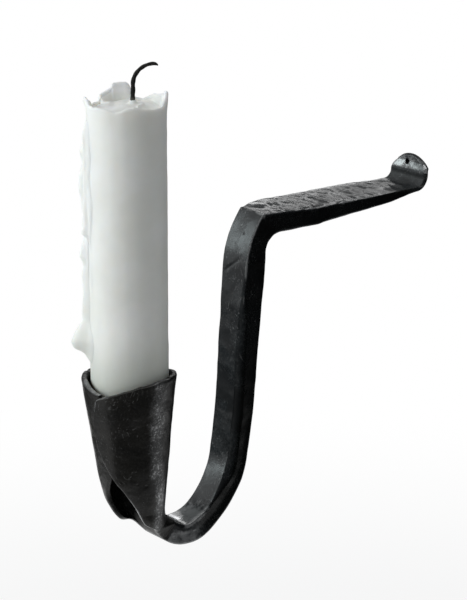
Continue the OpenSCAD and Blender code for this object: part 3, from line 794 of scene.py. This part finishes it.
# How far the main run stands out from the candle's side at heights above the rim
RUN_Z = [3.6, 4.8, 7.1, 8.0, 9.2, 11.2, 13.5, 16.4, 19.3, 25.0, 29.3, 32.0, 35.0, 38.7, 40.7, 43.5,
         46.0, 50.6, 53.4, 57.6, 61.0, 64.0, 67.3, 71.0, 76.0]
RUN_T = [-0.5, 0.1, 1.3, 2.8, 4.0, 5.0, 4.1, 1.9, 2.1, 1.6, 2.0, 1.2, 2.4, 1.3, 0.7, 1.2, 0.9, 1.4,
         1.9, 1.8, 0.7, 1.7, 0.2, 0.3, -0.2]
RUN_LOW, RUN_HIGH, RUN_FIRST, RUN_LAST = 3.4, 76.2, 130.0, 232.0

# The two side runs: turn, height of the bead, height of the start, size and seed
SIDE_RUNS = ((166.0, 30.4, 73.0, 1.15, 73), (194.0, 41.6, 74.5, 1.05, 74))


def run_surface(rows=300, cols=110):
    """Wax set on the candle's side: a thin skin with three runs. Each run is a bell
    across the turn whose height follows its own profile down the candle, ending in a
    bead; the main one ends in the big drop. The skin's edges sink into the candle."""
    z = np.linspace(RUN_LOW, RUN_HIGH, rows)[:, None]
    turn = np.linspace(RUN_FIRST, RUN_LAST, cols)[None, :]
    main_t = sum(share * np.interp(z + up, RUN_Z, RUN_T)
                 for share, up in ((0.5, 0.0), (0.25, -0.5), (0.25, 0.5)))
    centre = 180.0 + 1.6 * waver(z, 9.0, 71)
    wide = lerp(8.0, 13.0, bump(z, 11.0, 3.6)) + 1.2 * waver(z, 5.0, 72)
    t = main_t * np.exp(-np.abs((turn - centre) / wide) ** 2.3)
    for at, low, high, size, seed in SIDE_RUNS:
        on = size * ease((z - low + 1.6) / 1.8) * ease((high - z) / 5.0)
        knob = 1.0 + 0.7 * bump(z, low + 0.6, 1.7) + 0.25 * waver(z, 3.2, seed)
        c = at + 2.0 * waver(z, 12.0, seed + 5)
        t = np.maximum(t, on * knob * bump(turn, c, 5.2)) + 0.12 * np.minimum(t, on)
    low_edge = 30.0 + 14.0 * waver(turn / 10.0, 1.0, 76)
    swayed = turn + 5.0 * noise(np.stack([z + 0 * turn, turn / 30.0 + 0 * z], -1), 7.0, 78)
    skin = 0.46 * ease((z - low_edge) / 8.0) * ease((75 - z) / 6)
    skin = skin * ease((swayed - 148) / 14) * ease((214 - swayed) / 14)
    t = np.maximum(t, skin) + 0.4 * np.minimum(t, skin) + 0.9 * bump(z, 9.5, 4.0) * bump(turn, 193.0, 12.0)
    t = t + 0.1 * noise(np.stack([turn / 6.0 + 0 * z, z / 2.4 + 0 * turn], -1), 1.0, 77) * ease(t / 0.5)
    edge = ease(np.minimum(turn - RUN_FIRST, RUN_LAST - turn) / 26.0)
    edge = edge * ease(np.minimum(z - RUN_LOW, RUN_HIGH - z) / 2.5)
    t = t - 0.3 * (1 - edge) - 0.42 + 0.3 * ease(t / 0.4)
    a = np.radians(turn + FACING)
    outer = spun(CANDLE_R + t, a, z - 0.9 * ease((t - 2.2) / 3.0))
    inner = spun(CANDLE_R - 0.95 + 0 * t, a, z + 0 * a)
    return np.concatenate([outer, inner[:, ::-1]], 1) + CANDLE_AT


run_rings = run_surface()
run_piece = put_piece("candle", "wax_runs", "wax", "wax_drips", run_rings.reshape(-1, 3),
                      closed_rings(run_rings))


def wick_surface(rings=150, cols=20):
    """A tube along the wick's line: upright, then bent over in an arc that opens
    towards its end. Its radius falls towards the tip, with the twist of its strands
    as a wave that turns along it and charred lumps as noise."""
    straight, arc_len, foot_z = 9.0, 9.9, 73.65
    s = np.linspace(0, 1, rings)
    length = s * (straight + arc_len)
    bent = np.maximum(length - straight, 0) / arc_len
    turn = np.radians(98.0 * (0.55 * bent + 0.45 * bent ** 0.8) + 30.0 * ease((bent - 0.82) / 0.18))
    dx, dz, ds = np.sin(turn), np.cos(turn), np.gradient(length)
    x = 1.6 + 0.3 * ease(s / 0.5) + np.cumsum(dx * ds)
    z = foot_z + np.cumsum(dz * ds)
    across = np.linspace(0, 2 * np.pi, cols, endpoint=False)[None, :]
    s, length = s[:, None], length[:, None]
    r = lerp(0.62, 0.47, ease((s - 0.4) / 0.6)) * np.sqrt(np.clip((1.0 - s) / 0.05, 0.02, 1))
    lumps = noise(np.stack([length + 0 * across, np.cos(across) * 2 + 0 * length], -1), 0.8, 81)
    r = (r * (1 + 0.07 * np.cos(2 * across + length * 2.6) + 0.08 * lumps))[..., None]
    lead, up = np.array([*unit(FACING), 0.0]), np.array([0, 0, 1.0])
    centre = x[:, None] * lead + z[:, None] * up
    side = dz[:, None] * lead - dx[:, None] * up
    ring = np.cos(across)[..., None] * side[:, None] + np.sin(across)[..., None] * np.cross(up, lead)
    return centre[:, None] + r * ring + CANDLE_AT


wick_piece = lathe_piece("burnt_wick", wick_surface(), "wick", "wick")


# Finishes

def is_socket(value):
    return isinstance(value, bpy.types.NodeSocket)


class Nodes:
    """Short hand for building a node tree: add a node, set its inputs, join sockets."""

    def __init__(self, tree):
        self.tree = tree

    def put(self, socket, value):
        """Joins another node's socket to this one, or sets its value."""
        if is_socket(value):
            self.tree.links.new(value, socket)
        else:
            socket.default_value = value

    def add(self, kind, inputs=None, **props):
        node = self.tree.nodes.new("ShaderNode" + kind)
        for key, value in props.items():
            setattr(node, key, value)
        for key, value in (inputs or {}).items():
            self.put(node.inputs[key], value)
        return node

    def math(self, how, a, b=0.0, c=0.0):
        return self.add("Math", {0: a, 1: b, 2: c}, operation=how).outputs[0]

    def times(self, a, b):
        return self.math("MULTIPLY", a, b)

    def scaled(self, a, b, c):
        """a times b, plus c."""
        return self.math("MULTIPLY_ADD", a, b, c)

    def span(self, value, low, high, to_low=0.0, to_high=1.0):
        """Maps a value from one span to another, smoothly and held at the ends."""
        inputs = {"Value": value, "From Min": low, "From Max": high, "To Min": to_low, "To Max": to_high}
        return self.add("MapRange", inputs, interpolation_type="SMOOTHSTEP").outputs[0]

    def noise(self, vector, scale, detail=3.0, rough=0.55, stretch=None):
        if stretch is not None:
            vector = self.add("Mapping", {"Vector": vector, "Scale": stretch}).outputs[0]
        inputs = {"Vector": vector, "Scale": scale, "Detail": detail, "Roughness": rough}
        return self.add("TexNoise", inputs).outputs[0]

    def swing(self, value, size):
        """A value from 0 to 1 as a swing about zero."""
        return self.times(self.math("SUBTRACT", value, 0.5), size)

    def attribute(self, name):
        return self.add("Attribute", attribute_name=name).outputs["Fac"]

    def height(self, place):
        return self.add("SeparateXYZ", {"Vector": place}).outputs["Z"]

    def bumped(self, height, strength, depth):
        return self.add("Bump", {"Strength": strength, "Distance": depth, "Height": height}).outputs[0]

    def mix(self, share, a, b):
        """Colour a to b by a share, through the node's sockets for colours."""
        a, b = (value if is_socket(value) else (*value, 1.0) for value in (a, b))
        return self.add("Mix", {0: share, 6: a, 7: b}, data_type="RGBA").outputs[2]

    def seen(self):
        """1 for rays from the camera, off a mirror or through glass, 0 for lighting."""
        path = self.add("LightPath").outputs
        return self.math("MAXIMUM", path["Is Camera Ray"],
                         self.math("MAXIMUM", path["Is Glossy Ray"], path["Is Transmission Ray"]))


def forge_scale_group():
    """Forge scale on iron: a height of fine grain, pits, scratches and flaked
    patches, and masks for pits, scratches and slow variation."""
    group = bpy.data.node_groups.new("forge_scale", "ShaderNodeTree")
    group.interface.new_socket("Vector", in_out="INPUT", socket_type="NodeSocketVector")
    for key in ("Height", "Pitted", "Scratched", "Patches", "Speckle"):
        group.interface.new_socket(key, in_out="OUTPUT", socket_type="NodeSocketFloat")
    n = Nodes(group)
    v = group.nodes.new("NodeGroupInput").outputs["Vector"]
    grain = n.noise(v, 950.0, 4.0, 0.6)
    lumps = n.noise(v, 260.0, 3.0, 0.5)
    patches = n.noise(v, 95.0, 4.0, 0.6)
    cells = n.add("TexVoronoi", {"Vector": v, "Scale": 330.0}, feature="F1").outputs["Distance"]
    where = n.span(n.noise(v, 140.0, 2.0), 0.56, 0.7)
    pitted = n.times(n.span(cells, 0.25, 0.1), where)
    sway = n.add("TexNoise", {"Vector": v, "Scale": 55.0, "Detail": 2.0}).outputs["Color"]
    bent = n.add("VectorMath", {0: sway, 1: (0.018, 0.018, 0.018), 2: v}, operation="MULTIPLY_ADD").outputs[0]
    scratched = n.span(n.noise(bent, 2300.0, 1.0, 0.4, stretch=(1.0, 1.0, 0.2)), 0.63, 0.76)
    cross = n.span(n.noise(bent, 2100.0, 1.0, 0.4, stretch=(0.3, 0.3, 1.0)), 0.68, 0.8)
    scratched = n.math("MAXIMUM", scratched, cross)
    scratched = n.times(scratched, n.span(n.noise(v, 110.0, 2.0), 0.42, 0.62))
    speckle = n.span(n.noise(v, 1500.0, 3.0, 0.75), 0.5, 0.66)
    height = n.scaled(grain, 0.35, n.times(lumps, 0.9))
    for mask, depth in ((pitted, -1.1), (scratched, -0.35), (patches, 0.8)):
        height = n.scaled(mask, depth, height)
    out = group.nodes.new("NodeGroupOutput").inputs
    for socket, value in zip(out, (height, pitted, scratched, patches, speckle)):
        n.put(socket, value)
    return group


SCALE_GROUP = forge_scale_group()


def new_material(name):
    """A material with an empty node tree, and the place on the object, in metres."""
    mat = bpy.data.materials.new(name)
    mat.use_nodes = True
    mat.node_tree.nodes.clear()
    n = Nodes(mat.node_tree)
    return mat, n, n.add("TexCoord").outputs["Object"]


def close_material(mat, n, shader):
    n.add("OutputMaterial", {"Surface": shader.outputs[0]})
    return mat


def socket_flecks_and_sheen(n, scale, patch, place, turn_at, width):
    """Specks of the socket's scale with a painted sheen: a band of pale metallic specks up its
    wall at one turn, standing in for a reflection, which swings aside and gets stronger low
    down, and whose edges wander with a slow noise."""
    parts = n.add("SeparateXYZ", {"Vector": place}).outputs
    turn = n.math("ARCTAN2", parts["X"], n.math("ADD", parts["Y"], REACH * MM))
    turn = n.math("ADD", turn, n.span(parts["Z"], (FOOT_Z + 20.0) * MM, FOOT_Z * MM, 0.0, 0.5))
    turn = n.math("ADD", turn, n.swing(n.noise(place, 240.0, 3.0, 0.6), 0.5))
    away = n.math("ABSOLUTE", n.math("SUBTRACT", turn, turn_at))
    fade = n.span(parts["Z"], (FOOT_Z + 32.0) * MM, (FOOT_Z + 20.0) * MM, 0.9, 1.6)
    band = n.times(n.span(away, width, width * 0.2), fade)
    return n.times(n.scaled(scale["Speckle"], 0.8, 0.2), n.scaled(band, n.scaled(patch, 0.65, 0.35), 0.03))


# Black for painted shade; pale grey for polished metal and painted highlights.
SHADE_BLACK, RUBBED_HIGHLIGHT_GREY = (0.0012, 0.0014, 0.0012), (0.64, 0.65, 0.67)


def iron_material(name, dark, mid, bare, rough, scratch, sheen=None, bump_size=0.00022):
    """Black forged iron: near-black scale with paler patches and specks, which on the socket
    gather into a band of painted sheen. The point values say the rest: painted shade
    darkens it, the wearing value lays bare grey metal and also carries painted highlights,
    above 1.25 it is pale grey, partly polished metal and partly painted highlight, and
    below 0 the skin is rougher. Pits are rough, and patches smooth."""
    mat, n, place = new_material(name)
    scale = n.add("Group", {"Vector": place}, node_tree=SCALE_GROUP).outputs
    wear = n.attribute("wear")
    broken = n.swing(n.noise(place, 520.0, 3.0, 0.65), 1.3)
    # Bare grey metal at real wearing and where the value carries a painted highlight.
    bare_and_highlight = n.times(n.span(n.math("ADD", wear, broken), 0.55, 1.15), 0.75)
    # Above 1.25 the value gives pale grey: polished metal, and the painted highlights of the bar.
    rubbed_and_highlight = n.span(n.math("ADD", wear, n.swing(scale["Patches"], 0.8)), 1.25, 1.95)
    patch = n.span(scale["Patches"], 0.38, 0.66)
    flecks_and_sheen = n.times(scale["Speckle"], n.times(patch, 0.15))
    # On the socket the specks gather into a band of painted sheen.
    if sheen is not None:
        flecks_and_sheen = socket_flecks_and_sheen(n, scale, patch, place, *sheen)
    colour = n.mix(patch, dark, mid)
    for share, tint in ((flecks_and_sheen, bare), (n.times(scale["Scratched"], scratch), bare),
                        (n.attribute("soot"), SHADE_BLACK), (bare_and_highlight, bare), (rubbed_and_highlight, RUBBED_HIGHLIGHT_GREY)):
        colour = n.mix(share, colour, tint)
    roughness = rough
    rougher = n.span(wear, 0.0, -1.0)
    for share, change in ((patch, -0.12), (bare_and_highlight, -0.16), (scale["Pitted"], 0.2), (rougher, 0.34)):
        roughness = n.scaled(share, change, roughness)
    metallic = 0.1
    for share, change in ((flecks_and_sheen, 0.7), (bare_and_highlight, 0.2), (rubbed_and_highlight, 0.4)):
        metallic = n.scaled(share, change, metallic)
    return close_material(mat, n, n.add("BsdfPrincipled", {
        "Base Color": colour, "Metallic": metallic, "Roughness": roughness, "IOR": 1.35,
        "Normal": n.bumped(scale["Height"], 0.85, bump_size)}))


def above_rim(height):
    """A height over the socket's rim, in metres in the part."""
    return (RIM_Z + height) * MM


def wax_material(name):
    """Pale wax: faint cloudiness, painted shade that makes it darker and greener low down by the
    socket, a painted glow that makes it paler at the rim, satin skin with shallow handling
    marks, and light that goes a few millimetres in."""
    mat, n, place = new_material(name)
    up = n.height(place)
    # Painted shade: darker and greener low down by the socket's rim.
    low_shade = n.times(n.span(up, above_rim(16.0), above_rim(-1.0)), 0.9)
    # Painted glow: paler at the rim, standing in for light through the thin wax walls.
    thin = n.span(up, above_rim(77.6), above_rim(79.4))
    colour = n.mix(n.span(n.noise(place, 60.0, 3.0, 0.5), 0.35, 0.7), (0.80, 0.81, 0.765), (0.86, 0.87, 0.84))
    colour = n.mix(low_shade, colour, (0.55, 0.575, 0.52))
    colour = n.mix(thin, colour, (0.95, 0.955, 0.945))
    height = n.scaled(n.noise(place, 700.0, 3.0, 0.6), 0.3, n.noise(place, 150.0, 2.0, 0.5))
    return close_material(mat, n, n.add("BsdfPrincipled", {
        "Base Color": colour, "Roughness": n.span(n.noise(place, 180.0, 3.0, 0.6), 0.3, 0.7, 0.38, 0.5),
        "Normal": n.bumped(height, 0.25, 0.0003), "IOR": 1.44, "Specular IOR Level": 0.2,
        "Subsurface Weight": 0.45, "Subsurface Radius": (1.0, 0.85, 0.7), "Subsurface Scale": 0.003}))


def wick_material(name):
    """Charred cotton: black with a brown cast in the twist, paler where the wax has soaked it."""
    mat, n, place = new_material(name)
    ash = n.noise(place, 1400.0, 3.0, 0.7)
    soaked = n.span(n.height(place), above_rim(79.6), above_rim(78.0))
    colour = n.mix(n.span(ash, 0.5, 0.75), (0.006, 0.006, 0.005), (0.028, 0.024, 0.018))
    return close_material(mat, n, n.add("BsdfPrincipled", {
        "Base Color": n.mix(soaked, colour, (0.10, 0.095, 0.08)), "Roughness": 0.85,
        "Normal": n.bumped(ash, 0.8, 0.0001), "Specular IOR Level": 0.3}))


bar_iron = iron_material("hammered_iron", (0.0095, 0.011, 0.012), (0.024, 0.028, 0.03), (0.3, 0.305, 0.305),
                         0.31, 0.34, bump_size=0.00009)
socket_iron = iron_material("rolled_iron", (0.005, 0.0049, 0.004), (0.014, 0.0132, 0.0112),
                            (0.34, 0.345, 0.35), 0.4, 0.13, sheen=(np.radians(84.0), 0.32))
wax, char = wax_material("pale_wax"), wick_material("charred_wick")
for mat, pieces in ((bar_iron, (stem_piece, arm_piece, ear_piece)), (socket_iron, (socket_piece,)),
                    (wax, (candle_piece, run_piece)), (char, (wick_piece,))):
    for piece in pieces:
        piece.data.materials.clear()
        piece.data.materials.append(mat)


# Floor, light and camera

FLOOR_Z = -0.30
HEART = (0.0, -0.07, -0.03)     # what the lamps face
CARD_AXIS_Y = -0.06             # the cards stand round this upright line


def sheet(name, grid):
    """A stage piece from a grid of points in metres."""
    rows, cols = grid.shape[:2]
    i, j = np.meshgrid(np.arange(rows - 1) * cols, np.arange(cols - 1), indexing="ij")
    faces = np.stack([i + j, i + cols + j, i + cols + j + 1, i + j + 1], -1).reshape(-1, 4)
    mesh = bpy.data.meshes.new(name)
    mesh.from_pydata(grid.reshape(-1, 3).tolist(), [], faces.tolist())
    obj = linked(name, mesh)
    return obj


def floor_piece():
    """A large flat floor: pale where light falls on it, and nearly plain white where it
    is seen, all white away from the holder."""
    u, v = np.meshgrid(np.linspace(-4, 4, 33), np.linspace(-4, 4, 33), indexing="ij")
    obj = sheet("floor", np.stack([u, v, np.full_like(u, FLOOR_Z)], -1))
    mat, n, place = new_material("floor_white")
    plain = n.add("BsdfDiffuse", {"Color": (0.8, 0.8, 0.8, 1)}).outputs[0]
    white = n.add("Emission", {"Color": (1, 1, 1, 1), "Strength": 1.0}).outputs[0]
    away = n.add("VectorMath", {0: place, 1: (0.0, -0.07, FLOOR_Z)}, operation="DISTANCE").outputs["Value"]
    share = n.times(n.seen(), n.span(away, 0.3, 0.7, 0.8, 1.0))
    obj.data.materials.append(close_material(mat, n, n.add("MixShader", {0: share, 1: plain, 2: white})))


def lamp(name, place, size, power, colour):
    """A soft area lamp at a place in metres that faces the holder's middle."""
    data = bpy.data.lights.new(name, "AREA")
    data.shape = "RECTANGLE"
    data.size, data.size_y = size
    data.energy = power
    data.color = colour
    obj = linked(name, data)
    obj.location = place
    obj.rotation_euler = (Vector(HEART) - Vector(place)).to_track_quat("-Z", "Y").to_euler()


def dark_card(name, radius, middle, half, low, high):
    """A black card beside the holder, as a photographer sets one up so that bare metal
    doesn't mirror the white room: a curved sheet at a radius in metres, over turns in
    degrees and between two heights. Only reflections see it."""
    u, v = np.meshgrid(np.linspace(-1, 1, 33), np.linspace(0, 1, 9), indexing="ij")
    obj = sheet(name, spun(radius, np.radians(middle + half * u), lerp(low, high, v)) + [0, CARD_AXIS_Y, 0])
    obj.visible_camera = obj.visible_diffuse = obj.visible_shadow = False
    mat, n, place = new_material(name + "_black")
    obj.data.materials.append(close_material(mat, n, n.add("BsdfDiffuse", {"Color": (0.01, 0.01, 0.01, 1)})))


floor_piece()
lamp("window_left", (-0.32, -1.18, 0.35), (0.7, 0.9), 8.8, (0.97, 0.985, 1.0))
lamp("window_far", (-0.87, -0.80, 0.34), (0.34, 0.52), 2.8, (0.87, 0.985, 1.0))
lamp("back_sky", (-0.95, 0.75, 0.42), (0.9, 0.28), 1.75, (1.0, 1.0, 1.0))
lamp("soft_top", (0.1, -0.1, 1.1), (0.8, 0.8), 3.0, (1.0, 1.0, 1.0))
dark_card("card_front", 0.22, -26.0, 46.0, -0.29, 0.3)
dark_card("card_right", 0.3, 70.0, 50.0, -0.21, 0.3)
dark_card("card_corner", 0.3, 140.0, 22.0, -0.27, -0.03)
dark_card("card_low", 0.42, 216.0, 42.0, -0.296, -0.115)
dark_card("card_back", 1.6, 140.0, 45.0, -0.296, 1.3)

scene = bpy.context.scene
scene.world = bpy.data.worlds.new("studio")
scene.world.use_nodes = True
scene.world.node_tree.nodes.clear()
sky = Nodes(scene.world.node_tree)
dim = sky.add("Background", {"Color": (0.95, 0.97, 1.0, 1), "Strength": 0.24}).outputs[0]
white = sky.add("Background", {"Color": (1, 1, 1, 1), "Strength": 1.0}).outputs[0]
sky.add("OutputWorld", {"Surface": sky.add("MixShader", {0: sky.seen(), 1: dim, 2: white}).outputs[0]})

view = bpy.data.cameras.new("view")
view.lens, view.sensor_width = 144.0, 36.0
scene.camera = linked("view", view)
scene.camera.location = (0.5189, -0.4727, 0.1599)
scene.camera.rotation_euler = (np.radians(73.8), 0.0, np.radians(52.0))
scene.view_settings.view_transform = "Standard"
